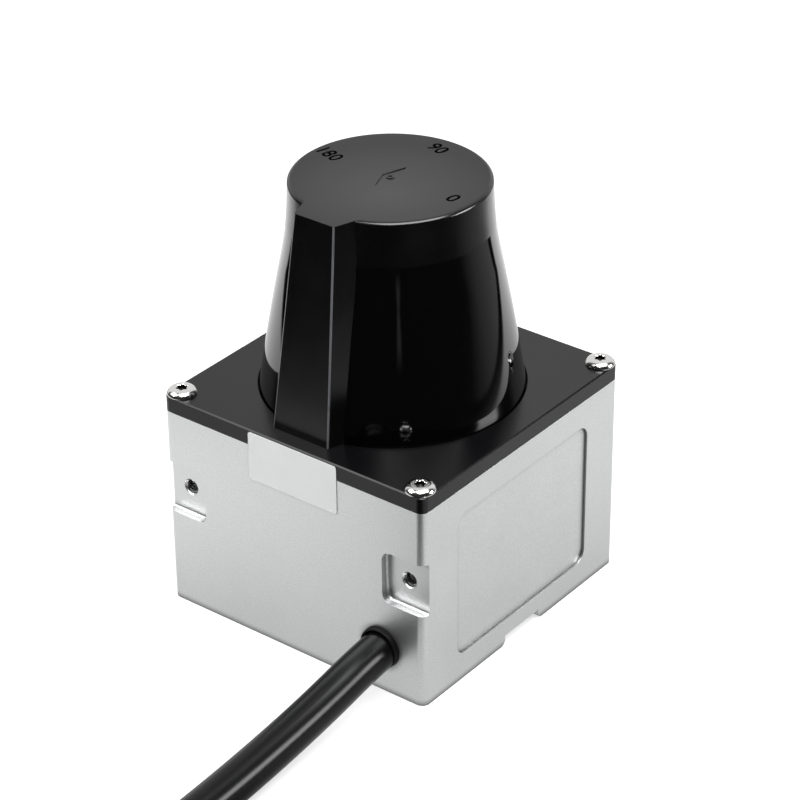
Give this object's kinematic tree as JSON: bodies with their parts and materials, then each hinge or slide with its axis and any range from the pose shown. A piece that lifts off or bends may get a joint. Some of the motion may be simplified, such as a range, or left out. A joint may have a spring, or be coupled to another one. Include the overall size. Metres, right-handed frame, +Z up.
{
  "type": "lidar sensor",
  "caption": "Compact 2-D laser scanner: square metal housing, dark lid, flared gloss black hood with cap and rear rib, fixed cable with round plug.",
  "frame": {"origin": "centre of the housing's underside", "axes": "+Z up along the hood's axis; +Y to the front, the middle of the scanned field; -Y to the rear, where the rib, the threaded mounting holes and the cable are"},
  "size_m": [0.1355, 0.1992, 0.0855],
  "materials": {
    "housing_metal": "bead blasted, light silver",
    "lid_metal": "dark anodised",
    "seal_rubber": "matte",
    "screw_steel": "polished stainless",
    "window_plastic": "gloss black, passes infrared",
    "cap_plastic": "matte black",
    "label_film": "thin blank film",
    "clamp_steel": "zinc plated",
    "lead_insulation": "plain",
    "cable_sheath": "satin black",
    "tie_plastic": "black",
    "plug_plastic": "black",
    "nickel_brass": "nickel plated",
    "contact_gold": "gold plated",
    "circuit_board": "green solder mask",
    "component_plastic": "black epoxy",
    "standoff_brass": "plain",
    "barrel_metal": "black anodised",
    "lens_glass": "coated",
    "machined_aluminium": "machined",
    "bearing_steel": "ground",
    "core_steel": "laminated",
    "winding_copper": "enamelled wire",
    "magnet_alloy": "nickel plated",
    "carrier_plastic": "black",
    "mirror_coating": "gold coated glass",
    "flex_film": "amber film"
  },
  "bodies": {
    "housing": {"base_housing": "housing_metal", "lid_plate": "lid_metal", "lid_gasket": "seal_rubber", "lid_screws": "screw_steel", "optical_window": "window_plastic", "window_seal": "seal_rubber", "top_cap": "cap_plastic", "seal_label": "label_film", "cable_grommet": "seal_rubber", "cable_clamp": "clamp_steel", "clamp_screws": "screw_steel", "cable_leads": "lead_insulation", "cable": "cable_sheath", "cable_coil": "cable_sheath", "cable_tail": "cable_sheath", "coil_tie": "tie_plastic", "plug_grip": "plug_plastic", "plug_insert": "plug_plastic", "plug_pins": "contact_gold", "main_board": "circuit_board", "board_parts": "component_plastic", "board_standoffs": "standoff_brass", "receiver_board": "circuit_board", "board_screws": "screw_steel", "detector": "component_plastic", "receiver_barrel": "barrel_metal", "receiver_lens": "lens_glass", "motor_bracket": "machined_aluminium", "bracket_screws": "screw_steel", "lower_bearing": "bearing_steel", "upper_bearing": "bearing_steel", "bearing_spacer": "bearing_steel", "stator_core": "core_steel", "stator_windings": "winding_copper", "encoder_sensor": "component_plastic", "laser_board": "circuit_board", "laser_barrel": "barrel_metal", "laser_lens": "lens_glass", "laser_diode": "screw_steel", "flex_lead": "flex_film"},
    "rotor": {"rotor_hub": "machined_aluminium", "rotor_magnet": "magnet_alloy", "encoder_ring": "bearing_steel", "hub_clip": "bearing_steel", "mirror_carrier": "carrier_plastic", "carrier_screws": "screw_steel", "receive_mirror": "mirror_coating", "emit_mirror": "mirror_coating"},
    "coupling_nut": {"plug_nut": "nickel_brass"}
  },
  "joints": [
    {"name": "rotor_spin", "type": "hinge", "parent": "housing", "child": "rotor", "pos_m": [0, 0, 0.036], "axis": [0, 0, 1], "continuous": true},
    {"name": "nut_turn", "type": "hinge", "parent": "housing", "child": "coupling_nut", "pos_m": [0.098, -0.0594, 0.0073], "axis": [0, 1, 0], "continuous": true}
  ]
}
